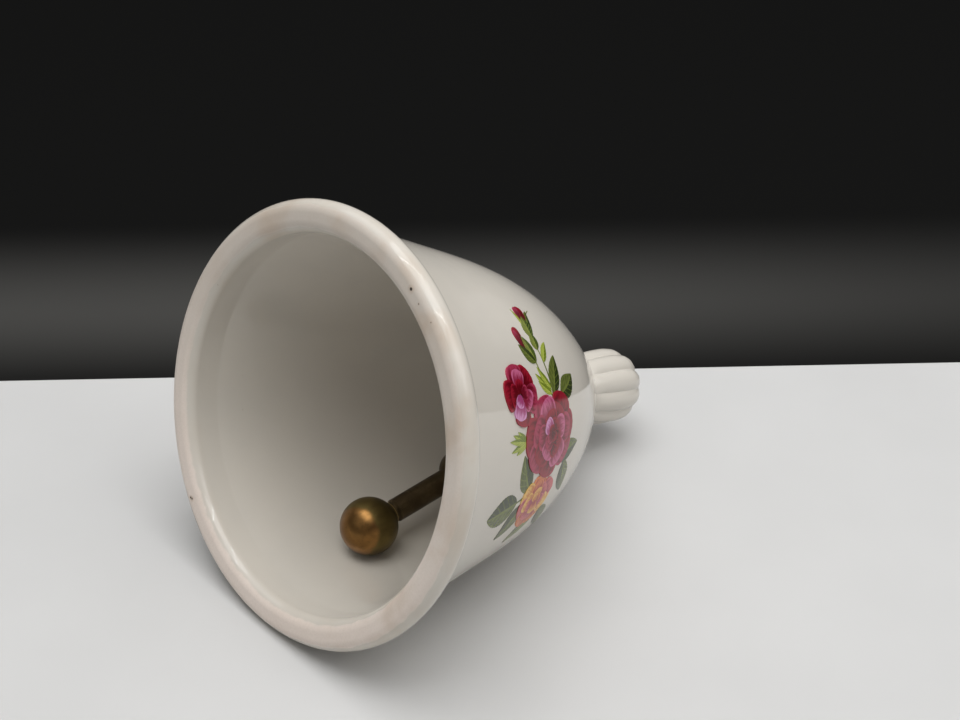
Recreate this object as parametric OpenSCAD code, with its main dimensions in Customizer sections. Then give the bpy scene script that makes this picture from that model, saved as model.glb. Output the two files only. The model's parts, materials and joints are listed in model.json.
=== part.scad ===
// Porcelain table bell lying on its side, resting on its lip and on its shoulder.
// Every piece is drawn upright, lip down on z = 0 and the knob on top, with +X on
// the side that ends up underneath, and lay_down() then tips the whole bell over.

/* [Bell body] */
// Outer diameter of the lip
mouth_d = 88; // [80:1:100]
// Height from the lip to the seat of the knob
body_h = 75.8; // [70:0.2:82]
// Thickness of the porcelain wall
wall = 2.8; // [2.2:0.1:3.2]
// Width of the rounded lip, measured across the wall
lip_w = 6.5; // [5.6:0.1:7.2]
// Height of the rounded lip
lip_h = 5.2; // [4.4:0.1:5.4]
// Diameter of the seat that carries the knob
seat_d = 16.7; // [15:0.1:19]

/* [Knob] */
// Diameter over the flutes
knob_d = 16.4; // [14:0.2:19]
// Length of the fluted part
knob_h = 17.5; // [15:0.5:21]
// Number of flutes
flutes = 10; // [8:1:14]
// Diameter of the opening that the end plug closes
plug_d = 7.8; // [6:0.2:8.2]
// Radius that rounds the ends of the flutes
knob_round = 3.6; // [2.5:0.1:4]

/* [Hanger] */
// Diameter of the hanger pin
pin_d = 2.4; // [2:0.1:2.8]
// Height of the pin's eye above the lip
eye_z = 59; // [57:0.5:61]
// Wire diameter of the link
link_wire = 1.4; // [1.1:0.1:1.5]
// Distance between the link's two hinges
link_l = 11; // [10.4:0.1:11.8]

/* [Clapper] */
// Diameter of the ball
ball_d = 12.2; // [10:0.1:13]
// Diameter of the thick part of the rod
rod_d = 5; // [4.4:0.1:5.6]
// Distance along the rod from the ball's centre to the turned bead
bead_at = 25.5; // [20:0.5:30]
// Diameter of the turned bead
bead_d = 9.8; // [8:0.1:11]

/* [Hidden] */
$fn = 96;

// Lip: two quarter rounds with a narrow flat between them that the bell stands on
lip_r = lip_h / 2;
lip_out = mouth_d / 2 - lip_r;
lip_in = mouth_d / 2 - lip_w + lip_r;
lip_end_angle = 80;

// Body: one cubic curve, [radius, height], from just behind the lip to the seat. Its
// second and third points draw the waist in and the shoulder out
waist_in = 13.4;
waist_share = 0.483;
shoulder_in = 10.6;
shoulder_share = 0.653;
body_curve = [
    [mouth_d / 2 - 4, 8],
    [mouth_d / 2 - waist_in, waist_share * body_h],
    [mouth_d / 2 - shoulder_in, shoulder_share * body_h],
    [seat_d / 2, body_h]
];
crown_extra = 1.2;
curve_steps = 30;
flare_steps = 6;
flare_out = 0.7;
flare_up = 0.2;
arc_step = 15;

// Crown, counted down from the seat
crown_hole_d = 5.2;
bush_d = 5.1;
bush_flange_d = 8.4;
bush_flange_h = 0.8;
washer_d = 6.4;
washer_h = 0.6;
turning_gap = 0.05;
end_play = 0.15;

// Knob
bed_h = 0.6;
bed_in_d = 9.4;
bed_out_d = 12.6;
knob_z = body_h + bed_h;
knob_top = knob_z + knob_h;
flute_r = 0.14 * knob_d;
flute_at = knob_d / 2 - flute_r;
core_r = flute_at + 0.4 * flute_r;
round_spare = 0.1;
cavity_r = 4.3;
plug_h = 3.4;
plug_dome = 1.2;
plug_sink = 0.3;

// Hanger
pin_r = pin_d / 2;
eye_d = 6;
eye_w = 2.2;
eye_hole_d = 1.9;
collar_d = 5;
collar_h = 1;
collar_gap = 0.2;
nut_h = 1.8;
nut_flats = 5;
washer_z = body_h + bush_flange_h;
nut_z = washer_z + washer_h + end_play;
pin_end = 0.5;
pin_top = nut_z + nut_h + pin_end;

// Clapper
ball_r = ball_d / 2;
rest_gap = 0.15;
touch_t = 0.25;
head_r = 2.5;
head_w = 3;
head_hole_d = 2.2;
thin_d = 3.4;
neck_d = 4;
neck_l = 0.7;
stem_sink = 0.3;
seat_sink = 0.4;
chamfer = 0.4;
spigot_d = 3;
spigot_l = 4.5;
bore_spare = 0.5;

// A point on the body's curve, and its unit normal pointing out of the bell
function cubic(p, t) =
    pow(1 - t, 3) * p[0] + 3 * pow(1 - t, 2) * t * p[1]
    + 3 * (1 - t) * t * t * p[2] + pow(t, 3) * p[3];
function cubic_slope(p, t) =
    3 * pow(1 - t, 2) * (p[1] - p[0]) + 6 * (1 - t) * t * (p[2] - p[1])
    + 3 * t * t * (p[3] - p[2]);
function quadratic(a, b, c, t) = pow(1 - t, 2) * a + 2 * (1 - t) * t * b + t * t * c;
function out_normal(t) =
    let (v = cubic_slope(body_curve, t)) [v[1], -v[0]] / norm(v);
function outer(t) = cubic(body_curve, t);
function wall_at(t) = wall + crown_extra * pow(t, 3);
function inner(t) = outer(t) - wall_at(t) * out_normal(t);

// Tilt of the lying bell: the lip's round and the first point of the body to come down
// touch the table together
function touch_tilt(p) =
    let (rise = lip_out - p[0], run = p[1] - lip_r)
    atan2(rise, run) + asin(lip_r / norm([rise, run]));
tilt = min([for (i = [0 : curve_steps]) touch_tilt(outer(i / curve_steps))]);

// Place of the lip's centre, with the whole bell's box centred over the origin
lip_z = lip_r * sin(tilt) + lip_out * cos(tilt) + lip_r;
back_x = lip_r * cos(tilt) - lip_out * sin(tilt) - lip_r;
end_at = (knob_d / 2 + round_spare - knob_round) * cos(180 / flutes);
front_x = (knob_top - knob_round) * cos(tilt) + end_at * sin(tilt) + knob_round;
lip_x = -(back_x + front_x) / 2;

// Where the clapper hangs and lies, as [x, z]: the link hangs plumb from the eye
// and the ball rests on the lower wall
eye_p = [0, eye_z];
head_p = eye_p + link_l * [cos(tilt), sin(tilt)];
ball_p = let (p = outer(touch_t), n = out_normal(touch_t))
    p - (wall_at(touch_t) + ball_r + rest_gap) * n;
rod_l = norm(ball_p - head_p);
rod_angle = atan2(ball_p[0] - head_p[0], head_p[1] - ball_p[1]);
link_angle = 90 + tilt;

module lay_down() {
    translate([lip_x, 0, lip_z]) rotate([0, 90 + tilt, 0]) children();
}

// Puts a piece drawn downwards from its hinge at the point p, swung by an angle
module hang(p, angle) {
    translate([p[0], 0, p[1]]) rotate([0, -angle, 0]) children();
}

// Round disc on edge with a hole through it, both on the Y axis
module eye_disc(d, w) {
    translate([0, w / 2, 0]) rotate([90, 0, 0]) cylinder(d = d, h = w);
}

module bell_body() {
    out_arc = [for (a = [-90 : arc_step : lip_end_angle])
        [lip_out + lip_r * cos(a), lip_r + lip_r * sin(a)]];
    flare_from = [lip_out + lip_r * cos(lip_end_angle), lip_r + lip_r * sin(lip_end_angle)];
    flare_by = [body_curve[0][0] + flare_out, lip_h + flare_up];
    flare = [for (i = [0 : flare_steps - 1])
        quadratic(flare_from, flare_by, body_curve[0], i / flare_steps)];
    outside = [for (i = [0 : curve_steps]) outer(i / curve_steps)];
    crown_z = inner(1)[1];
    inside = [for (i = [curve_steps : -1 : 0]) inner(i / curve_steps)];
    in_arc = [for (a = [180 : arc_step : 270])
        [lip_in + lip_r * cos(a), lip_r + lip_r * sin(a)]];
    color([0.93, 0.92, 0.89]) lay_down() rotate_extrude($fn = 160)
        polygon(concat(out_arc, flare, outside,
            [[crown_hole_d / 2, body_h], [crown_hole_d / 2, crown_z]], inside, in_arc));
}

// Cross-section of the knob: a round core with a ring of flutes
module fluted_section() {
    circle(r = core_r);
    for (i = [0 : flutes - 1]) rotate((i + 0.5) * 360 / flutes)
        translate([flute_at, 0]) circle(r = flute_r, $fn = 48);
}

// Solid of revolution that rounds both ends of the knob
module knob_rounding() {
    r = knob_d / 2 + round_spare;
    rotate_extrude() {
        square([r - knob_round, knob_h]);
        translate([0, knob_round]) square([r, knob_h - 2 * knob_round]);
        for (z = [knob_round, knob_h - knob_round])
            translate([r - knob_round, z]) circle(r = knob_round);
    }
}

module handle_knob() {
    color([0.93, 0.92, 0.89]) lay_down() translate([0, 0, knob_z]) difference() {
        intersection() {
            linear_extrude(knob_h) fluted_section();
            knob_rounding();
        }
        translate([0, 0, -1]) cylinder(r = cavity_r, h = knob_h - plug_h + 0.2);
        cylinder(d = plug_d, h = 2 * knob_h);
    }
}

module neck_bed() {
    color([0.86, 0.83, 0.76]) lay_down() translate([0, 0, body_h]) difference() {
        cylinder(d = bed_out_d, h = bed_h);
        translate([0, 0, -1]) cylinder(d = bed_in_d, h = bed_h + 2);
    }
}

// Closes the opening in the knob's end with a low dome that stands a little proud
module end_plug() {
    dome_r = (pow(plug_d / 2, 2) + pow(plug_dome, 2)) / (2 * plug_dome);
    rim_z = knob_top - plug_sink;
    color([0.90, 0.85, 0.72]) lay_down() intersection() {
        translate([0, 0, rim_z - plug_h]) cylinder(d = plug_d, h = 2 * plug_h);
        translate([0, 0, rim_z + plug_dome - dome_r]) sphere(r = dome_r);
    }
}

// Flanged sleeve that lines the hole in the crown
module crown_bush() {
    crown_z = inner(1)[1];
    color([0.55, 0.45, 0.22]) lay_down() difference() {
        union() {
            translate([0, 0, crown_z]) cylinder(d = bush_d, h = body_h - crown_z);
            translate([0, 0, body_h]) cylinder(d = bush_flange_d, h = bush_flange_h);
        }
        translate([0, 0, crown_z - 1])
            cylinder(r = pin_r + turning_gap, h = body_h - crown_z + bush_flange_h + 2);
    }
}

module thrust_washer() {
    color([0.45, 0.27, 0.15]) lay_down() translate([0, 0, washer_z]) difference() {
        cylinder(d = washer_d, h = washer_h);
        translate([0, 0, -1]) cylinder(r = pin_r + turning_gap, h = washer_h + 2);
    }
}

// Pin with a drilled eye at its lower end, a collar under the crown and a nut on top
module hanger_pin() {
    collar_z = inner(1)[1] - collar_gap - collar_h;
    color([0.56, 0.44, 0.20]) lay_down() difference() {
        union() {
            translate([0, 0, eye_z]) eye_disc(eye_d, eye_w);
            translate([0, 0, eye_z]) cylinder(r = pin_r, h = pin_top - eye_z);
            translate([0, 0, collar_z]) cylinder(d = collar_d, h = collar_h);
        }
        translate([0, 0, eye_z]) eye_disc(eye_hole_d, 2 * eye_w);
    }
}

module pin_nut() {
    color([0.62, 0.50, 0.24]) lay_down() translate([0, 0, nut_z]) difference() {
        cylinder(d = nut_flats / cos(30), h = nut_h, $fn = 6);
        translate([0, 0, -1]) cylinder(r = pin_r, h = nut_h + 2);
    }
}

// Closed wire ring, threaded through both eyes
module hanger_link() {
    color([0.50, 0.40, 0.20]) lay_down() hang(eye_p, link_angle)
        translate([0, 0, -link_l / 2]) rotate([0, 90, 0]) rotate_extrude()
            translate([link_l / 2, 0]) circle(d = link_wire, $fn = 32);
}

// Turned rod: an eyed head, a thin shank, a bead, a thick stem, a neck and a spigot
module clapper_rod() {
    bead_z = bead_at - rod_l;
    ball_top = ball_r - rod_l;
    stem_z = ball_top + neck_l - stem_sink;
    color([0.36, 0.27, 0.13]) lay_down() hang(head_p, rod_angle) difference() {
        union() {
            eye_disc(2 * head_r, head_w);
            translate([0, 0, bead_z]) cylinder(d = thin_d, h = -bead_z - head_hole_d);
            translate([0, 0, bead_z]) sphere(d = bead_d);
            translate([0, 0, stem_z + chamfer])
                cylinder(d = rod_d, h = bead_z - stem_z - chamfer);
            translate([0, 0, stem_z]) cylinder(d1 = rod_d - 2 * chamfer, d2 = rod_d, h = chamfer);
            translate([0, 0, ball_top - seat_sink]) cylinder(d = neck_d, h = neck_l + seat_sink);
            translate([0, 0, ball_top - spigot_l]) cylinder(d = spigot_d, h = spigot_l);
        }
        eye_disc(head_hole_d, 2 * head_w);
    }
}

// Ball with a seat and a blind bore for the rod
module clapper_ball() {
    ball_top = ball_r - rod_l;
    color([0.62, 0.42, 0.18]) lay_down() hang(head_p, rod_angle) difference() {
        translate([0, 0, -rod_l]) sphere(r = ball_r);
        translate([0, 0, ball_top - seat_sink]) cylinder(d = neck_d, h = ball_r);
        translate([0, 0, ball_top - spigot_l - bore_spare]) cylinder(d = spigot_d, h = ball_r);
    }
}

bell_body();
handle_knob();
neck_bed();
end_plug();
crown_bush();
thrust_washer();
hanger_pin();
pin_nut();
hanger_link();
clapper_rod();
clapper_ball();
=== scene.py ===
"""Porcelain table bell lying on its side on a pale board, in front of a dark backdrop.

Sizes below are in millimetres. Most pieces are built upright in the bell's own frame, with the
mouth at z = 0, the knob on top and +X on the side that lies underneath, and are then placed by
the BELL matrix. The clapper's ball is built in the ROD frame, along the rod from the ball's centre.
"""

import json
import math

import bmesh
import bpy
import numpy as np
from mathutils import Matrix, Vector


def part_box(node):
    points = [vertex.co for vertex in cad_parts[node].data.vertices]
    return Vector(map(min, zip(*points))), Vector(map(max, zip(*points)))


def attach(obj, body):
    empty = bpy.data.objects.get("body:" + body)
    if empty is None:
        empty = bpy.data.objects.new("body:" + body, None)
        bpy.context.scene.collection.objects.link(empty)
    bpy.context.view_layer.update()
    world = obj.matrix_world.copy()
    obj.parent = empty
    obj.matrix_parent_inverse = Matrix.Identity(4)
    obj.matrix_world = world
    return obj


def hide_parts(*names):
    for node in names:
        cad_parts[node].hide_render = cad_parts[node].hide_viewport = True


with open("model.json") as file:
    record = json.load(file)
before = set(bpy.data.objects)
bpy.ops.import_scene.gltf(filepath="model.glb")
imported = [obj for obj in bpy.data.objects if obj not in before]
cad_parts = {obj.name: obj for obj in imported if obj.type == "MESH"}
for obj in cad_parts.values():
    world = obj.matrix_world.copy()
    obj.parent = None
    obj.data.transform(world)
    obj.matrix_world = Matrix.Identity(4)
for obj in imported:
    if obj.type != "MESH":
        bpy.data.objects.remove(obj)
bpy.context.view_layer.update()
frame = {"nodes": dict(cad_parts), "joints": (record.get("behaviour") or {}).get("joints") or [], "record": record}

MM = 0.001

# ---------------------------------------------------------------- places taken from the frame

joints = {joint["name"]: joint for joint in frame["joints"]}
axis = Vector(joints["hanger_swivel"]["axis"]).normalized()
eye = Vector(joints["hanger_swivel"]["pos_m"])
head = Vector(joints["clapper_swing"]["pos_m"])
lip_face = Vector(frame["record"]["mounts"][0]["pos_m"])
mouth = eye - axis * (eye - lip_face).dot(axis)
ball_low, ball_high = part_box("clapper_ball")
ball_centre = (ball_low + ball_high) / 2
SIDE = Vector((0, 1, 0))


def placed(origin, z_axis):
    """Matrix of a frame at origin whose Z is z_axis and whose Y is the row frame's Y."""
    matrix = Matrix((SIDE.cross(z_axis), SIDE, z_axis)).transposed().to_4x4()
    matrix.translation = origin
    return matrix


BELL = placed(mouth, axis)
ROD = placed(ball_centre, (head - ball_centre).normalized())

# ---------------------------------------------------------------- sizes, in millimetres

LIP_RADIUS = 2.6           # of the lip's rounding
LIP_OUT = 41.4             # where the outer rounding has its centre
LIP_IN = 40.1              # and the inner one
LIP_END = 80               # angle at which the outer rounding runs into the flare
FLARE_BY = (40.7, 5.4)     # radius and height that the flare bends towards
# Control points of the body's outline: radius, height
BODY = np.array([(40, 8), (30.6, 36.6), (33.4, 49.5), (8.35, 75.8)])
WALL = 2.8
CROWN_EXTRA = 1.2          # how much thicker the wall is at the crown
HOLE_RADIUS = 2.6
SEAT_HEIGHT = 75.8

KNOB_LOW = 76.4
KNOB_LENGTH = 17.5
# Crest of the flutes: height above the knob's foot, radius
KNOB_CREST = [(0, 6.6), (1.2, 7.25), (4, 8.0), (8, 8.45), (12, 8.45), (14.4, 8.0), (16.2, 6.95),
              (17.2, 5.7), (KNOB_LENGTH, 4.5)]
FLUTES = 10
FLUTE_DEPTH = 0.85
FLUTE_POWER = 0.35         # below 0.5 the groove between two round flutes is narrow
GROOVE_SOFTNESS = 0.004    # rounds the bottom of the groove
FLUTE_END = 2.6            # the flutes fade out over this much radius at the knob's far end
FLUTE_FOOT = 4             # and over this height at its foot,
FOOT_SHARE = 0.25          # where this share of their depth is left
CAVITY_RADIUS = 4.3
PLUG_RADIUS = 3.9
PLUG_LENGTH = 3.0
PLUG_SUNK = 0.3            # how far the plug's rim lies below the knob's end
PLUG_GROOVE = 0.35         # width of the groove round the plug's dome
PLUG_DOME = 1.2
BED_INSIDE = 4.7
BED_OUTSIDE = 6.3
BED_BEAD = 0.3             # radius of the plaster squeezed out at both edges

BALL_RADIUS = 6.1
SEAT_RADIUS = 2            # flat on the ball that the rod's shoulder meets
SEAT_SUNK = 0.42
RIM_LIFT = 0.12            # how far the rim round the seat stands proud
SPIGOT_RADIUS = 1.5
BORE_BOTTOM = 1.0          # height of the bore's end above the ball's centre

TURNED_COLUMNS = 160
FINE_COLUMNS = 480
SHARP_ANGLE = 40           # degrees between faces above which an edge isn't smoothed


# ---------------------------------------------------------------- outlines

def cubic(points, t):
    t = np.asarray(t, float)[..., None]
    return ((1 - t) ** 3 * points[0] + 3 * (1 - t) ** 2 * t * points[1]
            + 3 * (1 - t) * t ** 2 * points[2] + t ** 3 * points[3])


def outward(t):
    """Unit normal of the body's outline."""
    t = np.asarray(t, float)[..., None]
    slope = ((1 - t) ** 2 * (BODY[1] - BODY[0]) + 2 * (1 - t) * t * (BODY[2] - BODY[1])
             + t ** 2 * (BODY[3] - BODY[2]))
    normal = np.stack([slope[..., 1], -slope[..., 0]], -1)
    return normal / np.linalg.norm(normal, axis=-1, keepdims=True)


def outside(t):
    return cubic(BODY, t)


def inside(t):
    t = np.asarray(t, float)
    return outside(t) - (WALL + CROWN_EXTRA * t ** 3)[..., None] * outward(t)


def smooth_curve(x, y, at):
    """Smooth curve through points, by cubic Hermite pieces with finite-difference slopes."""
    slope = np.gradient(y, x)
    i = np.clip(np.searchsorted(x, at) - 1, 0, len(x) - 2)
    step = x[i + 1] - x[i]
    t = (at - x[i]) / step
    return ((1 + 2 * t) * (1 - t) ** 2 * y[i] + t * (1 - t) ** 2 * step * slope[i]
            + t * t * (3 - 2 * t) * y[i + 1] + t * t * (t - 1) * step * slope[i + 1])


def arc(centre_r, centre_z, radius, start, end, steps):
    angle = np.radians(np.linspace(start, end, steps))
    return np.stack([centre_r + radius * np.cos(angle), centre_z + radius * np.sin(angle)], 1)


def shell_outline():
    """Closed outline of the wall: down the inside, round the lip, up the outside, over the seat."""
    curve = np.linspace(0, 1, 150)
    lip_out = arc(LIP_OUT, LIP_RADIUS, LIP_RADIUS, -90, LIP_END, 36)
    t = np.linspace(0, 1, 10)[1:-1, None]
    flare = ((1 - t) ** 2 * lip_out[-1] + 2 * (1 - t) * t * np.array(FLARE_BY) + t ** 2 * BODY[0])
    seat = [(r, SEAT_HEIGHT) for r in (8.1, 6, 4, HOLE_RADIUS)]
    hole = [(HOLE_RADIUS, float(inside(1)[1]))]
    lip_in = arc(LIP_IN, LIP_RADIUS, LIP_RADIUS, 180, 270, 20)
    return np.concatenate([hole, inside(curve[::-1]), lip_in, lip_out, flare, outside(curve), seat])


# ---------------------------------------------------------------- mesh building

def link(obj):
    bpy.context.scene.collection.objects.link(obj)
    return obj


def finish_mesh(name, vertices, faces, material, place):
    """Object whose vertices are in millimetres of the frame that the matrix place describes."""
    mesh = bpy.data.meshes.new(name)
    mesh.from_pydata([tuple(place @ Vector(v)) for v in np.asarray(vertices) * MM], [], faces)
    work = bmesh.new()
    work.from_mesh(mesh)
    bmesh.ops.recalc_face_normals(work, faces=work.faces)
    work.to_mesh(mesh)
    work.free()
    mesh.shade_smooth()
    mesh.set_sharp_from_angle(angle=math.radians(SHARP_ANGLE))
    mesh.materials.append(material)
    return link(bpy.data.objects.new(name, mesh))


def grid_faces(rows, columns, wrap_rows):
    """Quads of a grid whose columns always wrap round, and whose rows wrap if asked."""
    last = rows if wrap_rows else rows - 1
    return [(i * columns + j, i * columns + (j + 1) % columns,
             (i + 1) % rows * columns + (j + 1) % columns, (i + 1) % rows * columns + j)
            for i in range(last) for j in range(columns)]


def turned(outline, columns, wrap=True, change=None):
    """Vertices and faces of an outline turned about Z. An outline that doesn't wrap starts and ends
    on the axis. change(radius, height, angle) may move the points."""
    outline = np.asarray(outline, float)
    ring = outline if wrap else outline[1:-1]
    angle = np.linspace(0, 2 * np.pi, columns, endpoint=False)
    radius, turn = np.meshgrid(ring[:, 0], angle, indexing="ij")
    height = np.repeat(ring[:, 1:], columns, 1)
    if change:
        radius, height = change(radius, height, turn)
    points = np.stack([radius * np.cos(turn), radius * np.sin(turn), height], -1).reshape(-1, 3)
    faces = grid_faces(len(ring), columns, wrap)
    if not wrap:
        first, last = len(points), len(points) + 1
        points = np.concatenate([points, [(0, 0, outline[0, 1]), (0, 0, outline[-1, 1])]])
        end = (len(ring) - 1) * columns
        faces += [(first, (j + 1) % columns, j) for j in range(columns)]
        faces += [(last, end + j, end + (j + 1) % columns) for j in range(columns)]
    return points, faces


# ---------------------------------------------------------------- node helpers

class Shader:
    """A material's node tree with short calls."""

    def __init__(self, name, place=None):
        """place is the matrix of the frame that patterns are drawn in; None is the row frame."""
        self.material = bpy.data.materials.new(name)
        self.material.use_nodes = True
        self.tree = self.material.node_tree
        self.surface = self.tree.nodes["Principled BSDF"]
        self.place = self.node("ShaderNodeTexCoord").outputs["Object"]
        if place is not None:
            back = place.inverted()
            self.place = self.node("ShaderNodeMapping", {
                "Vector": self.place, "Location": tuple(back.translation),
                "Rotation": tuple(back.to_euler())}).outputs[0]

    def put(self, socket, value):
        if isinstance(value, bpy.types.NodeSocket):
            self.tree.links.new(value, socket)
        elif socket.type == "RGBA" and len(value) == 3:
            socket.default_value = (*value, 1)
        else:
            socket.default_value = value

    def node(self, kind, inputs=None, **settings):
        made = self.tree.nodes.new(kind)
        for key, value in settings.items():
            setattr(made, key, value)
        for key, value in (inputs or {}).items():
            self.put(made.inputs[key], value)
        return made

    def set(self, **values):
        for key, value in values.items():
            self.put(self.surface.inputs[key.replace("_", " ")], value)

    def math(self, operation, a, b=0.0, c=0.0):
        """MULTIPLY_ADD is a * b + c."""
        made = self.node("ShaderNodeMath", {0: a, 1: b}, operation=operation)
        if operation == "MULTIPLY_ADD":
            self.put(made.inputs[2], c)
        return made.outputs[0]

    def ramp(self, value, low, high, out_low=0.0, out_high=1.0):
        """Smooth step from out_low at low to out_high at high."""
        made = self.node("ShaderNodeMapRange", {"Value": value, "From Min": low, "From Max": high,
                                                "To Min": out_low, "To Max": out_high},
                         interpolation_type="SMOOTHSTEP")
        return made.outputs["Result"]

    def noise(self, scale, detail=4.0, rough=0.5, warp=0.0, stretch=(1, 1, 1), at=None):
        """Noise whose features are about 1/scale metres across."""
        mapped = self.node("ShaderNodeMapping", {"Vector": at or self.place, "Scale": stretch})
        made = self.node("ShaderNodeTexNoise", {"Vector": mapped.outputs[0], "Scale": scale,
                                                "Detail": detail, "Roughness": rough,
                                                "Distortion": warp})
        return made.outputs["Fac"]

    def mix(self, factor, a, b):
        made = self.node("ShaderNodeMix", data_type="RGBA")
        self.put(made.inputs[0], factor)
        self.put(made.inputs[6], a)
        self.put(made.inputs[7], b)
        return made.outputs[2]

    def bump(self, height, distance, strength=1.0, under=None):
        inputs = {"Height": height, "Distance": distance, "Strength": strength}
        if under:
            inputs["Normal"] = under
        return self.node("ShaderNodeBump", inputs).outputs["Normal"]

    def split(self, vector=None):
        """x, y and z of a vector, or of the place."""
        return self.node("ShaderNodeSeparateXYZ", {0: vector or self.place}).outputs

    def distance(self, point):
        made = self.node("ShaderNodeVectorMath", {0: self.place, 1: point}, operation="DISTANCE")
        return made.outputs["Value"]

    def from_axis(self):
        """Distance from the Z axis of the place's frame."""
        x, y = self.split()[:2]
        return self.math("SQRT", self.math("ADD", self.math("MULTIPLY", x, x),
                                           self.math("MULTIPLY", y, y)))


def around(angle, radius, height):
    """Point of the bell frame, in metres. angle is in degrees from the top towards the camera."""
    turn = math.radians(angle)
    return (-radius * math.cos(turn) * MM, -radius * math.sin(turn) * MM, height * MM)


# ---------------------------------------------------------------- materials

WARM_WHITE = (0.68, 0.635, 0.565)
CLOUD_WHITE = (0.655, 0.615, 0.55)
SPECK = (0.42, 0.33, 0.24)
BISQUE = (0.67, 0.605, 0.535)          # bare clay where it faces up
LOW_BISQUE_PAINTED_LIGHTER = (0.86, 0.755, 0.675)      # the same clay painted lighter where it faces the board, as painted light
GRAIN = (0.56, 0.47, 0.38)
STAIN = (0.50, 0.36, 0.24)
EDGE_BROWN = (0.30, 0.19, 0.11)
# near-black centre of a pit: painted shade of a hole that the mesh doesn't have
PIT_SHADE = (0.035, 0.022, 0.014)
GROOVE_BROWN = (0.20, 0.11, 0.05)

# Pits in the lip: angle from the top towards the camera, radius, height, size
LIP_PITS = [(26.5, 41.4, 0.0, 0.42), (-137.6, 41.1, 0.0, 0.3), (-137.1, 41.45, 0.0, 0.28),
            (31, 41.2, 0.0, 0.16), (37, 41.9, 0.1, 0.14), (-70, 42.0, 0.3, 0.18)]
# Middle of a thin brown line on the lip's outer edge: angle, radius, height
EDGE_LINE = (-141, 42.7, 0.35)
WORN_SIDE = (-0.33, -0.18, -0.93)      # direction of the ball's worn side, in the rod's frame
BALL_SMUDGE = (-3.4, -4.2, -1.3)       # dark mark on the worn side


def glaze(s):
    """Colour, roughness and normal of clear glaze over clouded warm white with rare specks."""
    colour = s.mix(s.ramp(s.noise(60, 3), 0.35, 0.7), WARM_WHITE, CLOUD_WHITE)
    specks = s.ramp(s.noise(900, 2, 0.6), 0.76, 0.80)
    colour = s.mix(s.math("MULTIPLY", specks, 0.35), colour, SPECK)
    waves = s.bump(s.noise(170, 2, 0.5), 0.06 * MM, 0.6)
    normal = s.bump(s.noise(1500, 2, 0.5), 0.006 * MM, 0.5, waves)
    roughness = s.ramp(s.noise(240, 3), 0.3, 0.8, 0.04, 0.1)
    return colour, roughness, normal


def bare_lip(s, glazed):
    """Colour of the lip and the share of bare clay, whose edge wanders along the lip's rounding."""
    x, y, z = s.split()
    edge = s.math("MULTIPLY_ADD", s.noise(260, 3), 0.7 * MM, 0.2 * MM)
    bare = s.ramp(s.math("SUBTRACT", edge, z), -0.25 * MM, 0.3 * MM)
    towards_top = s.math("MULTIPLY_ADD", x, -12.0, s.math("MULTIPLY", y, -11.0))
    where = s.ramp(towards_top, -0.45, 0.45, 0.15, 1.0)
    blotches = s.ramp(s.noise(75, 3, 0.5, 0.3), 0.4, 0.75)
    grain = s.ramp(s.noise(1900, 3, 0.7), 0.35, 0.75)
    # painted light: the bare clay is painted lighter towards the side that faces the board
    clay = s.mix(s.ramp(x, -30 * MM, 35 * MM), BISQUE, LOW_BISQUE_PAINTED_LIGHTER)
    clay = s.mix(s.math("MULTIPLY", grain, 0.18), clay, GRAIN)
    clay = s.mix(s.math("MULTIPLY", blotches, s.math("MULTIPLY", where, 0.56)), clay, STAIN)
    creep = s.ramp(z, 1.2 * MM, 4.2 * MM, 0.45, 0.0)
    glazed = s.mix(s.math("MULTIPLY", creep, s.math("MULTIPLY", blotches, where)), glazed, STAIN)
    return s.mix(bare, glazed, clay), bare


def lip_marks(s, colour):
    """Adds the brown edge line and the pits with their stained halos; the pits' near-black centres are painted
    shade.
    """
    off_ring = s.math("ABSOLUTE", s.math("SUBTRACT", s.from_axis(), EDGE_LINE[1] * MM))
    line = s.math("MULTIPLY", s.ramp(off_ring, 0.1 * MM, 0.36 * MM, 0.8, 0.0),
                  s.ramp(s.distance(around(*EDGE_LINE)), 3.5 * MM, 6 * MM, 1.0, 0.0))
    colour = s.mix(line, colour, EDGE_BROWN)
    for angle, radius, height, size in LIP_PITS:
        away = s.distance(around(angle, radius, height))
        halo = s.math("MULTIPLY", s.ramp(away, size * MM, 2.6 * size * MM, 1.0, 0.0), 0.35)
        colour = s.mix(halo, colour, STAIN)
        # painted shade: each pit's centre is painted near black, as the inside of a hole in shade
        colour = s.mix(s.ramp(away, 0.55 * size * MM, size * MM, 1.0, 0.0), colour, PIT_SHADE)
    return colour


def porcelain(name, lip):
    """Glazed porcelain; with lip, the band that the bell stands on is left bare and is stained."""
    s = Shader(name, BELL)
    colour, roughness, normal = glaze(s)
    if lip:
        colour, bare = bare_lip(s, colour)
        colour = lip_marks(s, colour)
        roughness = s.math("ADD", roughness, s.math("MULTIPLY", bare, 0.45))
        normal = s.bump(s.noise(2600, 3, 0.7), 0.03 * MM, s.math("MULTIPLY", bare, 0.5), normal)
    s.set(Base_Color=colour, Roughness=roughness, Normal=normal, IOR=1.5)
    return s.material


def plaster(name, light, dark, groove=None):
    """Matt set plaster with fine pits. groove is the radius of a brown line round it."""
    s = Shader(name, BELL)
    colour = s.mix(s.ramp(s.noise(420, 4, 0.6), 0.3, 0.7), light, dark)
    if groove:
        line = s.ramp(s.from_axis(), (groove - 0.75) * MM, (groove - 0.35) * MM)
        colour = s.mix(line, colour, GROOVE_BROWN)
    s.set(Base_Color=colour, Roughness=0.75, Normal=s.bump(s.noise(2200, 3, 0.7), 0.04 * MM, 0.5))
    return s.material


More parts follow.
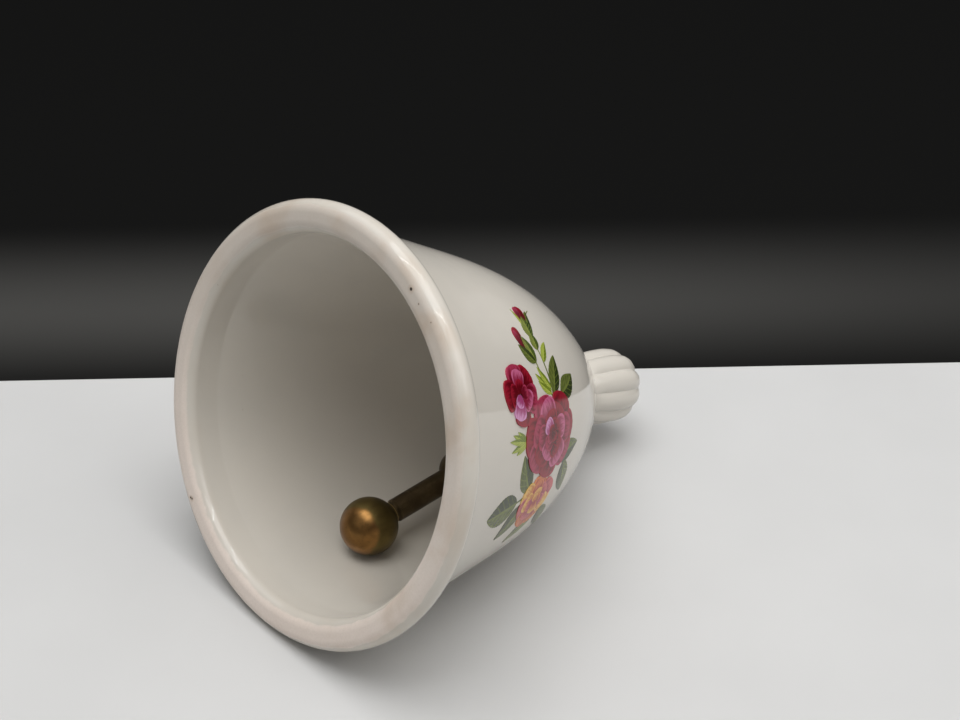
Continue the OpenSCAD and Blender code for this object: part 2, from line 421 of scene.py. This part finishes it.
def bronze(name, bright, brown, olive, worn):
    """Turned copper alloy with brown and olive tarnish, its turning marks along the rod's axis.
    worn is the share left bright."""
    s = Shader(name, ROD)
    broad = s.noise(190, 4, 0.6, 0.8)
    fine = s.noise(1300, 4, 0.65)
    streaks = s.noise(420, 4, 0.6, 0.3, (1, 1, 0.16))
    tarnish = s.ramp(broad, 0.32 + 0.25 * worn, 0.55 + 0.25 * worn)
    colour = s.mix(tarnish, bright, brown)
    colour = s.mix(s.ramp(streaks, 0.5, 0.74), colour, olive)
    colour = s.mix(s.math("MULTIPLY", s.ramp(fine, 0.55, 0.75), 0.5), colour, brown)
    turning = s.noise(2400, 2, 0.5, 0.0, (0.02, 0.02, 1))
    normal = s.bump(turning, 0.01 * MM, 0.35)
    normal = s.bump(fine, 0.02 * MM, 0.35, normal)
    roughness = s.ramp(broad, 0.3, 0.75, 0.34, 0.55)
    s.set(Base_Color=colour, Metallic=1.0, Roughness=roughness, Normal=normal)
    return s.material


def ball_finish():
    """Bronze worn bright on the striking side, dark olive where the rod joins, ringed by a
    rim round the rod's seat that is painted bright brass as a painted highlight."""
    s = Shader("ball_bronze", ROD)
    height = s.split()[2]
    broad = s.noise(150, 3, 0.55, 0.6)
    fine = s.noise(1500, 4, 0.65)
    bright = s.mix(s.ramp(broad, 0.38, 0.62), (0.31, 0.16, 0.052), (0.215, 0.112, 0.037))
    bright = s.mix(s.math("MULTIPLY", s.ramp(fine, 0.5, 0.75), 0.6), bright, (0.13, 0.072, 0.028))
    smudge = s.ramp(s.distance([c * MM for c in BALL_SMUDGE]), 0.3 * MM, 1.8 * MM, 0.6, 0.0)
    bright = s.mix(smudge, bright, (0.09, 0.042, 0.022))
    patina = s.mix(s.ramp(broad, 0.35, 0.65), (0.12, 0.086, 0.031), (0.185, 0.137, 0.048))
    towards = s.node("ShaderNodeVectorMath", {0: s.place, 1: WORN_SIDE}, operation="DOT_PRODUCT")
    edge = s.math("MULTIPLY_ADD", broad, -2.6 * MM, towards.outputs["Value"])
    covered = s.ramp(edge, 1.6 * MM, 2.4 * MM, 1.0, 0.0)
    colour = s.mix(covered, bright, patina)
    # painted highlight: a bright brass band on the rim round the rod's seat
    colour = s.mix(s.ramp(height, 5.65 * MM, 5.78 * MM), colour, (0.62, 0.47, 0.20))
    roughness = s.ramp(covered, 0.0, 1.0, 0.32, 0.46)
    s.set(Base_Color=colour, Metallic=1.0, Roughness=roughness, Normal=s.bump(fine, 0.02 * MM, 0.4))
    return s.material


def fibre():
    """Dark red vulcanised fibre with flecks."""
    s = Shader("vulcanised_fibre", BELL)
    flecks = s.noise(1600, 3, 0.6, 0.4, (1, 1, 3))
    colour = s.mix(s.ramp(flecks, 0.35, 0.7), (0.20, 0.075, 0.04), (0.34, 0.15, 0.08))
    s.set(Base_Color=colour, Roughness=0.6, Normal=s.bump(flecks, 0.03 * MM, 0.4))
    return s.material


# ---------------------------------------------------------------- porcelain pieces


def add(obj, body, slot, *nodes):
    """The piece rides on a body and stands for CAD nodes, which it hides. slot is not used."""
    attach(obj, body)
    if nodes:
        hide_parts(*nodes)
    return obj


def make_shell():
    vertices, faces = turned(shell_outline(), FINE_COLUMNS)
    finish = porcelain("glazed_porcelain", True)
    return add(finish_mesh("porcelain_shell", vertices, faces, finish, BELL),
               "porcelain", "porcelain", "bell_body")


def fluted(radius, z, turn):
    """Cuts the grooves between the knob's round flutes. They fade out at both ends."""
    ridge = (np.sin(FLUTES * turn / 2) ** 2 + GROOVE_SOFTNESS) ** FLUTE_POWER
    share = (np.clip((radius - CAVITY_RADIUS) / FLUTE_END, 0, 1)
             * np.clip((z - KNOB_LOW) / FLUTE_FOOT, FOOT_SHARE, 1))
    return radius - FLUTE_DEPTH * share * (1 - ridge), z


def make_knob():
    """Barrel-shaped knob with shallow flutes and a bore that the plug closes."""
    along, crest = np.array(KNOB_CREST).T
    height = np.concatenate([np.linspace(0, 1.5, 8), np.linspace(2, 14, 25),
                             np.linspace(14.4, KNOB_LENGTH, 20)])
    skin = np.stack([smooth_curve(along, crest, height), KNOB_LOW + height], 1)
    top = KNOB_LOW + KNOB_LENGTH
    shoulder = top - PLUG_SUNK - PLUG_LENGTH
    bore = [(PLUG_RADIUS, top - 0.2), (PLUG_RADIUS, shoulder), (CAVITY_RADIUS, shoulder - 0.1),
            (CAVITY_RADIUS, KNOB_LOW)]
    vertices, faces = turned(np.concatenate([skin, bore]), FINE_COLUMNS, change=fluted)
    knob = finish_mesh("fluted_knob", vertices, faces, porcelain("knob_glaze", False), BELL)
    return add(knob, "porcelain", "knob_porcelain", "handle_knob")


def make_bed():
    """Ring of bedding plaster, squeezed out a little at both edges."""
    low, high = SEAT_HEIGHT, KNOB_LOW
    middle = (low + high) / 2
    outline = np.concatenate([
        [(BED_INSIDE, low), (BED_OUTSIDE, low)], arc(BED_OUTSIDE, middle, BED_BEAD, -80, 80, 9),
        [(BED_OUTSIDE, high), (BED_INSIDE, high)], arc(BED_INSIDE, middle, BED_BEAD, 100, 260, 9)])
    vertices, faces = turned(outline, TURNED_COLUMNS)
    finish = plaster("bedding_plaster", (0.66, 0.60, 0.49), (0.55, 0.48, 0.37))
    return add(finish_mesh("plaster_bed", vertices, faces, finish, BELL),
               "porcelain", "bedding_plaster", "neck_bed")


def make_plug():
    """Cream plug with a low dome inside a brown groove."""
    rim = KNOB_LOW + KNOB_LENGTH - PLUG_SUNK
    foot = rim - PLUG_LENGTH
    radius = PLUG_RADIUS - PLUG_GROOVE
    ball = (radius ** 2 + PLUG_DOME ** 2) / (2 * PLUG_DOME)
    reach = math.degrees(math.asin(radius / ball))
    side = [(0, foot), (2, foot), (PLUG_RADIUS, foot), (PLUG_RADIUS, rim - 0.35),
            (PLUG_RADIUS - 0.15, rim - 0.5)]
    cap = arc(0, rim + PLUG_DOME - ball, ball, 90 - reach, 90, 18)
    vertices, faces = turned(np.concatenate([side, cap]), TURNED_COLUMNS, wrap=False)
    finish = plaster("cream_plaster", (0.83, 0.75, 0.58), (0.76, 0.66, 0.48), PLUG_RADIUS)
    return add(finish_mesh("cream_plug", vertices, faces, finish, BELL),
               "porcelain", "plug_plaster", "end_plug")


# ---------------------------------------------------------------- rose spray


def srgb(red, green, blue):
    """Linear colour from display values of 0 to 255."""
    return tuple(((c / 255 + 0.055) / 1.055) ** 2.4 if c > 10 else c / 3295
                 for c in (red, green, blue))


# Each palette is a deep colour and a light one
DARK_LEAF = (srgb(44, 56, 22), srgb(116, 126, 58))
MID_LEAF = (srgb(60, 78, 28), srgb(146, 154, 74))
LIGHT_LEAF = (srgb(100, 118, 28), srgb(190, 200, 92))
CRIMSON = (srgb(92, 6, 18), srgb(154, 26, 46))
DEEP_ROSE = (srgb(104, 12, 30), srgb(172, 56, 86))
PINK = (srgb(136, 30, 60), srgb(200, 104, 142))
MAUVE = (srgb(160, 62, 112), srgb(218, 156, 200))
ORANGE = (srgb(166, 58, 44), srgb(216, 128, 72))
YELLOW = (srgb(196, 116, 50), srgb(236, 190, 98))
ROSY = (srgb(158, 46, 64), srgb(208, 108, 108))

SPRAY_FROM = 10        # angle at which the spray's own x starts, in degrees from the top
SPRAY_RADIUS = 33      # one millimetre of x is this radius's arc
SPRAY_LIFT = 0.012     # the lowest layer's height above the glaze
SPRAY_STEP = 0.0035    # each later blade lies this much higher
SPRAY_SUNK = 0.03      # depth of every blade's underside below the glaze


def half_width(kind, v, length):
    """Share of a blade's half width at v, which runs from 0 at its base to 1 at its tip."""
    if kind == "leaf":
        teeth = 1 + 0.1 * np.abs((v * length / 0.9) % 1 - 0.5)
        return np.sin(np.pi * v ** 0.8) ** 0.85 * teeth + 0.03
    if kind == "petal":
        return np.sqrt(np.clip(1 - np.abs(2 * v - 1) ** 2.6, 0.02, 1)) * (0.62 + 0.42 * v)
    return 1.15 - 0.35 * v


# What the enamel's pattern holds for each kind of blade
KIND_MARK = {"leaf": 1.0, "petal": 0.0, "stem": 0.5}


class Spray:
    """Transfer print of flat enamel blades that follow the body's curve. x runs round the bell
    and y up its outline from the flare's end, both in millimetres."""

    def __init__(self):
        self.vertices, self.faces, self.values = [], [], []
        self.layer = 0
        self.t = np.linspace(0, 1, 1500)
        steps = np.linalg.norm(np.diff(outside(self.t), axis=0), axis=1)
        self.run = np.concatenate([[0], np.cumsum(steps)])

    def skin(self, x, y, lift):
        """Points in the bell's frame, lifted off the glaze."""
        t = np.interp(y, self.run, self.t)
        turn = np.radians(SPRAY_FROM) + x / SPRAY_RADIUS
        point = outside(t) + np.asarray(lift)[..., None] * outward(t)
        return np.stack([-point[..., 0] * np.cos(turn), -point[..., 0] * np.sin(turn),
                         point[..., 1]], -1)

    def blade(self, base, tip, width, colours, kind="leaf", bend=0.0):
        """A leaf, petal or stem from base to tip. bend shifts its middle sideways."""
        base, tip = np.array(base, float), np.array(tip, float)
        length = np.linalg.norm(tip - base)
        rows, columns = max(8, int(length / 0.32)), max(3, int(width / 0.4) + 2)
        v = np.linspace(0, 1, rows)[:, None]
        side = np.array([-(tip - base)[1], (tip - base)[0]]) / length
        middle = (base + tip) / 2 + side * bend * length
        spine = (1 - v) ** 2 * base + 2 * (1 - v) * v * middle + v ** 2 * tip
        run = 2 * (1 - v) * (middle - base) + 2 * v * (tip - middle)
        across = np.stack([-run[:, 1], run[:, 0]], 1) / np.linalg.norm(run, axis=1, keepdims=True)
        u = np.linspace(-1, 1, columns)
        half = half_width(kind, v, length)
        grid = spine[:, None] + (half * u)[..., None] * across[:, None] * width / 2
        self.layer += 1
        lift = SPRAY_LIFT + SPRAY_STEP * self.layer
        start = sum(len(part) for part in self.vertices)
        flat = grid.reshape(-1, 2)
        for height in (np.full(len(flat), lift), np.full(len(flat), -SPRAY_SUNK)):
            self.vertices.append(self.skin(flat[:, 0], flat[:, 1], height))
        self.add_faces(start, rows, columns)
        pattern = np.stack(np.broadcast_arrays((u + 1) / 2, v, KIND_MARK[kind], 1.0), -1)
        pattern = pattern.reshape(-1, 4)
        deep, light = (np.tile((*colour, 1.0), (rows * columns, 1)) for colour in colours)
        self.values += [(pattern, deep, light)] * 2

    def add_faces(self, start, rows, columns):
        """Faces of a thin closed sheet: its top grid, the same grid underneath and the edge."""
        count = rows * columns
        cell = [(i * columns + j, i * columns + j + 1, (i + 1) * columns + j + 1,
                 (i + 1) * columns + j)
                for i in range(rows - 1) for j in range(columns - 1)]
        edge = (list(range(columns)) + [i * columns + columns - 1 for i in range(1, rows)]
                + [(rows - 1) * columns + j for j in range(columns - 2, -1, -1)]
                + [i * columns for i in range(rows - 2, 0, -1)])
        self.faces += [tuple(start + k for k in quad) for quad in cell]
        self.faces += [tuple(start + count + k for k in reversed(quad)) for quad in cell]
        self.faces += [(start + b, start + a, start + count + a, start + count + b)
                       for a, b in zip(edge, edge[1:] + edge[:1])]

    def rose(self, centre, size, rings, turn=0.0):
        """Rings of petals from the outside in. Each ring is (petals, reach, width, palettes)."""
        centre, size = np.array(centre, float), np.array(size, float)
        for ring, (petals, reach, width, palettes) in enumerate(rings):
            inner_reach = 0.32 * reach - 0.12
            for k in range(petals):
                uneven = 0.18 * math.sin(5.1 * k + 2 * ring)
                angle = turn + 0.55 * ring + 2 * np.pi * (k + uneven) / petals
                ray = np.array([math.cos(angle), math.sin(angle)])
                stretch = reach * (1 + 0.06 * math.sin(3.7 * k + ring))
                self.blade(centre + inner_reach * ray * size, centre + stretch * ray * size,
                           width * size.mean(), palettes[k % len(palettes)], "petal",
                           0.12 * math.sin(2.3 * k + ring))

    def build(self, material):
        spray = finish_mesh("rose_spray", np.concatenate(self.vertices), self.faces, material, BELL)
        for name, part in zip(("pattern", "deep", "light"), zip(*self.values)):
            layer = spray.data.color_attributes.new(name, "FLOAT_COLOR", "POINT")
            layer.data.foreach_set("color", np.concatenate(part).ravel())
        return spray


def enamel():
    """Overglaze colours: petals streaked from a deep heart to a pale edge, leaves with veins."""
    s = Shader("rose_enamel", BELL)
    pattern, deep, light = (s.node("ShaderNodeAttribute", attribute_name=name).outputs["Color"]
                            for name in ("pattern", "deep", "light"))
    u, v, kind = s.split(pattern)
    across = s.math("ABSOLUTE", s.math("MULTIPLY_ADD", u, 2.0, -1.0))
    streak = s.noise(9, 3, 0.6, 0.3, (1.0, 0.22, 0.0), pattern)
    grain = s.noise(1400, 3, 0.6)
    petal = s.math("MULTIPLY_ADD", streak, 0.9, s.math("MULTIPLY", s.ramp(v, 0.25, 1.0), 0.55))
    petal = s.math("ADD", petal, s.math("MULTIPLY", s.ramp(across, 0.72, 1.0), 0.3))
    petal = s.ramp(petal, 0.4, 1.25)
    vein = s.ramp(across, 0.05, 0.14, 0.55, 0.0)
    ribs = s.math("SINE", s.math("MULTIPLY_ADD", v, 38.0, s.math("MULTIPLY", across, -9.0)))
    vein = s.math("MAXIMUM", vein, s.ramp(ribs, 0.72, 1.0, 0.0, 0.4))
    half = s.ramp(u, 0.42, 0.58, 0.05, 0.42)
    mottle = s.math("MULTIPLY", s.ramp(streak, 0.4, 0.7), 0.25)
    leaf = s.math("ADD", s.math("ADD", vein, half), mottle)
    share = s.math("ADD", s.math("MULTIPLY", leaf, kind),
                   s.math("MULTIPLY", petal, s.math("SUBTRACT", 1.0, kind)))
    share = s.math("ADD", share, s.math("MULTIPLY_ADD", grain, 0.3, -0.15))
    colour = s.mix(s.ramp(share, 0.0, 1.0), deep, light)
    waves = s.bump(s.noise(170, 2), 0.06 * MM, 0.6)
    s.set(Base_Color=colour, Roughness=0.12, IOR=1.5, Normal=waves)
    return s.material


def make_spray():
    spray = Spray()
    blade = spray.blade
    stem = MID_LEAF
    # stems
    blade((28.5, 29.8), (18.4, 27.5), 0.45, stem, "stem", -0.04)
    blade((28.5, 29.4), (21.3, 25.2), 0.45, stem, "stem", 0.12)
    blade((36.5, 19.5), (35.8, 15), 0.4, stem, "stem")
    blade((47.5, 21.5), (48.2, 17), 0.45, stem, "stem")
    blade((11.3, 29), (9.6, 31.2), 0.25, stem, "stem", 0.1)
    # leaves behind the flowers
    blade((42.5, 32.5), (40.2, 41.8), 4.6, DARK_LEAF, bend=0.1)
    blade((43.2, 35.8), (52.2, 39.2), 4.4, DARK_LEAF, bend=-0.08)
    blade((53.5, 31.5), (61.5, 36.0), 4.2, DARK_LEAF, bend=0.1)
    blade((55, 29.5), (59.3, 22), 3.4, MID_LEAF, bend=-0.1)
    blade((46.5, 22.5), (38.6, 17.8), 4.4, DARK_LEAF, bend=0.12)
    blade((49, 21.5), (55.4, 15.4), 4.6, DARK_LEAF, bend=0.1)
    blade((47.8, 18.4), (48.5, 7.6), 5.8, DARK_LEAF, bend=0.06)
    blade((28.4, 33.2), (24.2, 39.8), 4.9, DARK_LEAF, bend=-0.1)
    blade((28.3, 30.4), (20.1, 33.3), 4.1, DARK_LEAF, bend=0.08)
    blade((21.7, 28.5), (17.2, 31.4), 1.9, LIGHT_LEAF, bend=0.1)
    for dx, dy in ((0, 0), (1.5, 0.7), (-1.3, 1.2)):
        blade((27.4 + 0.4 * dx, 29.2), (23.9 + dx, 23.8 + dy), 1.5, LIGHT_LEAF, bend=0.08)
    for tip_x, tip_y in ((33.9, 14.6), (38, 14.4), (34.3, 12.8), (37.3, 12.4), (35.3, 11.6)):
        blade((36.2, 18.4), (tip_x, tip_y), 1.2, LIGHT_LEAF)
    # buds
    blade((17.6, 27.2), (10.2, 24.0), 1.0, LIGHT_LEAF, bend=-0.1)
    blade((16.4, 27.4), (10.0, 29.6), 1.9, DARK_LEAF, bend=0.14)
    blade((12.9, 27.1), (9.2, 26.7), 3.5, CRIMSON, "petal")
    blade((12.6, 26.2), (9.4, 25.8), 2.0, DEEP_ROSE, "petal")
    blade((16.4, 26.9), (11.7, 26.6), 3.2, MID_LEAF)
    blade((19.1, 27.4), (15.2, 27.0), 2.6, MID_LEAF)
    blade((18.8, 22.6), (14.6, 20.9), 2.9, CRIMSON, "petal")
    blade((18.3, 21.9), (15.2, 20.6), 1.5, DEEP_ROSE, "petal")
    blade((21.7, 25.3), (16.4, 22.6), 2.6, MID_LEAF, bend=-0.08)
    blade((21.7, 25.2), (18.2, 20.6), 2.2, DARK_LEAF, bend=0.08)
    # flowers
    spray.rose((49.8, 26.4), (6.1, 6.3), [
        (7, 1.0, 0.95, (ORANGE, YELLOW, ROSY)), (5, 0.74, 0.8, (YELLOW, ROSY, ORANGE)),
        (4, 0.5, 0.55, (ROSY, YELLOW)), (3, 0.3, 0.36, (ORANGE, YELLOW))], 0.4)
    spray.rose((36.0, 28.1), (8.9, 9.9), [
        (7, 1.0, 0.92, (DEEP_ROSE, CRIMSON, CRIMSON, DEEP_ROSE, CRIMSON)),
        (6, 0.78, 0.8, (DEEP_ROSE, CRIMSON, PINK)), (5, 0.56, 0.62, (PINK, CRIMSON, DEEP_ROSE)),
        (4, 0.37, 0.45, (CRIMSON, MAUVE, DEEP_ROSE)), (3, 0.22, 0.28, (CRIMSON, DEEP_ROSE))], 0.9)
    spray.rose((27.6, 16.6), (6.0, 5.7), [
        (5, 1.0, 1.1, (CRIMSON, DEEP_ROSE, CRIMSON)), (4, 0.74, 0.85, (PINK, CRIMSON, MAUVE)),
        (3, 0.45, 0.55, (CRIMSON, MAUVE, DEEP_ROSE))], 2.4)
    return add(spray.build(enamel()), "porcelain", "porcelain")


# ---------------------------------------------------------------- clapper and hanger

def make_ball():
    """Bronze ball with its blind bore, and a raised rim round the rod's seat with a painted highlight."""
    seat = math.acos(SEAT_RADIUS / BALL_RADIUS)
    skin = arc(0, 0, BALL_RADIUS, -90, math.degrees(seat) - 7, 70)
    rim = BALL_RADIUS * math.sin(seat) + RIM_LIFT
    floor = rim - SEAT_SUNK
    seat_and_bore = [(2.62, rim - 0.22), (2.5, rim), (2.16, rim), (SEAT_RADIUS, rim - 0.3),
                     (SEAT_RADIUS - 0.05, floor), (SPIGOT_RADIUS, floor),
                     (SPIGOT_RADIUS, BORE_BOTTOM + 0.2), (0, BORE_BOTTOM)]
    vertices, faces = turned(np.concatenate([skin, seat_and_bore]), TURNED_COLUMNS, wrap=False)
    ball = finish_mesh("bronze_ball", vertices, faces, ball_finish(), ROD)
    return add(ball, "clapper", "ball_bronze", "clapper_ball")


# CAD nodes that stay as they are: material, bright, brown and olive colours, share left bright
METALS = {
    "clapper_rod": ("rod_bronze", (0.125, 0.092, 0.05), (0.085, 0.06, 0.033),
                    (0.075, 0.058, 0.03), 0.2),
    "hanger_link": ("link_brass", (0.52, 0.38, 0.16), (0.24, 0.155, 0.06),
                    (0.16, 0.12, 0.05), 0.4),
    "hanger_pin": ("pin_brass", (0.55, 0.41, 0.18), (0.27, 0.18, 0.07),
                   (0.18, 0.14, 0.06), 0.4),
    "pin_nut": ("nut_brass", (0.62, 0.47, 0.22), (0.34, 0.23, 0.10),
                (0.22, 0.17, 0.08), 0.6),
    "crown_bush": ("bush_brass", (0.60, 0.45, 0.20), (0.32, 0.22, 0.09),
                   (0.22, 0.16, 0.07), 0.6),
}


def paint(node, material):
    """Gives a CAD node that stays as it is its finish."""
    for slot in frame["nodes"][node].material_slots:
        slot.material = material


def paint_hardware():
    for node, finish in METALS.items():
        paint(node, bronze(*finish))
    paint("thrust_washer", fibre())


# ---------------------------------------------------------------- stage, light and camera

BOARD_TURN = 50.1      # direction, in degrees from +X, in which the board's far edge lies
BOARD_REACH = 54.6     # distance of that edge from the origin
BOARD_HALF_WIDTH = 1600
BOARD_DEPTH = 1500
BOARD_THICKNESS = 1.5
BACKDROP_TOP = -1.6    # just under the board
BACKDROP_REACH = 3000
CAMERA_TURN = -41.86   # from -Y, positive towards +X
CAMERA_RISE = 34.32
CAMERA_AWAY = 375
CAMERA_AT = (3.5, -4.2, 41.4)
LENS = 68.86


def slab(name, corners, material, thickness):
    """A flat slab whose top has these corners."""
    top = [Vector(c) * MM for c in corners]
    low = [c - Vector((0, 0, thickness * MM)) for c in top]
    mesh = bpy.data.meshes.new(name)
    count = len(top)
    sides = [(i, (i + 1) % count, count + (i + 1) % count, count + i) for i in range(count)]
    ends = [tuple(range(count)), tuple(reversed(range(count, 2 * count)))]
    mesh.from_pydata(top + low, [], ends + sides)
    mesh.materials.append(material)
    link(bpy.data.objects.new(name, mesh))


def pale_board():
    s = Shader("pale_board")
    tone = s.ramp(s.noise(25, 3), 0.3, 0.7)
    s.set(Base_Color=s.mix(tone, (0.645, 0.642, 0.635), (0.625, 0.622, 0.615)), Roughness=0.55)
    return s.material


def dark_backdrop(turn):
    """Near black, with a soft grey band of painted light past the board's edge that fades to the right."""
    s = Shader("dark_backdrop")
    x, y = s.split()[:2]
    reach = s.math("MULTIPLY_ADD", x, math.cos(turn), s.math("MULTIPLY", y, math.sin(turn)))
    past = s.math("SUBTRACT", reach, BOARD_REACH * MM)
    side = s.math("MULTIPLY_ADD", x, math.sin(turn), s.math("MULTIPLY", y, -math.cos(turn)))
    # painted light: the grey band past the board's edge, fading away from it and to the right
    fall = s.ramp(past, 32 * MM, 78 * MM, 1.0, 0.0)
    band = s.math("MULTIPLY", s.ramp(past, -6 * MM, 33 * MM), fall)
    band = s.math("MULTIPLY", band, s.ramp(side, 0.0, 160 * MM, 1.0, 0.5))
    s.set(Base_Color=s.mix(band, (0.0078, 0.0078, 0.0076), (0.06, 0.059, 0.056)), Roughness=0.9,
          Specular_IOR_Level=0.0)
    return s.material


def make_stage():
    turn = math.radians(BOARD_TURN)
    along = Vector((math.cos(turn), math.sin(turn), 0))
    right = Vector((along.y, -along.x, 0)) * BOARD_HALF_WIDTH
    edge = along * BOARD_REACH
    near = edge - along * BOARD_DEPTH
    slab("pale_board", [edge - right, edge + right, near + right, near - right],
         pale_board(), BOARD_THICKNESS)
    corners = [(x * BACKDROP_REACH, y * BACKDROP_REACH, BACKDROP_TOP)
               for x, y in ((-1, -1), (1, -1), (1, 1), (-1, 1))]
    slab("dark_backdrop", corners, dark_backdrop(turn), 1.0)


# Square soft boxes one metre from the bell: name, watts, side in metres, direction in degrees
# from +X, height in degrees above the board
SOFT_BOXES = [("overhead", 4.6, 0.8, 180, 88), ("right_front", 2.3, 0.7, 300, 50),
              ("front", 1.7, 0.8, 270, 70), ("behind", 1.5, 0.7, 90, 60),
              ("mouth_side", 0.4, 0.7, 172, 45)]
# Narrow tubes overhead, side by side, for fine reflections in the glaze: places in metres
TUBE_PLACES = [(0.0, -0.3, 1.0), (0.1, 0.12, 1.0)]
TUBE_WATTS = 0.7
TUBE_SIZE = (1.2, 0.012)
TUBE_TURN = 158
ROOM_LIGHT = 0.18


def lamp(name, watts, size, place, turned_to):
    """Rectangular light that shines along its own -Z, with its size and place in metres."""
    data = bpy.data.lights.new(name, "AREA")
    data.shape = "RECTANGLE"
    data.size, data.size_y = size
    data.energy = watts
    made = link(bpy.data.objects.new(name, data))
    made.location, made.rotation_euler = place, turned_to


def make_lights():
    for name, watts, side, turn, rise in SOFT_BOXES:
        turn, rise = math.radians(turn), math.radians(rise)
        out = Vector((math.cos(rise) * math.cos(turn), math.cos(rise) * math.sin(turn),
                      math.sin(rise)))
        lamp(name, watts, (side, side), out, out.to_track_quat("Z", "Y").to_euler())
    for number, place in enumerate(TUBE_PLACES):
        lamp(f"tube_{number}", TUBE_WATTS, TUBE_SIZE, place, (0, 0, math.radians(TUBE_TURN)))
    world = bpy.data.worlds.new("dim_room")
    world.use_nodes = True
    sky = world.node_tree.nodes["Background"].inputs
    sky["Color"].default_value = (1, 1, 1, 1)
    sky["Strength"].default_value = ROOM_LIGHT
    bpy.context.scene.world = world
    bpy.context.scene.view_settings.view_transform = "Standard"


def make_camera():
    data = bpy.data.cameras.new("camera")
    data.lens = LENS
    data.sensor_width = 36
    data.clip_start, data.clip_end = 0.01, 20
    camera = link(bpy.data.objects.new("camera", data))
    turn, rise = math.radians(CAMERA_TURN), math.radians(CAMERA_RISE)
    back = Vector((math.sin(turn) * math.cos(rise), -math.cos(turn) * math.cos(rise),
                   math.sin(rise)))
    camera.location = (Vector(CAMERA_AT) + back * CAMERA_AWAY) * MM
    camera.rotation_euler = back.to_track_quat("Z", "Y").to_euler()
    bpy.context.scene.camera = camera


make_camera()
make_stage()
make_lights()
make_shell()
make_knob()
make_bed()
make_plug()
make_spray()
make_ball()
paint_hardware()
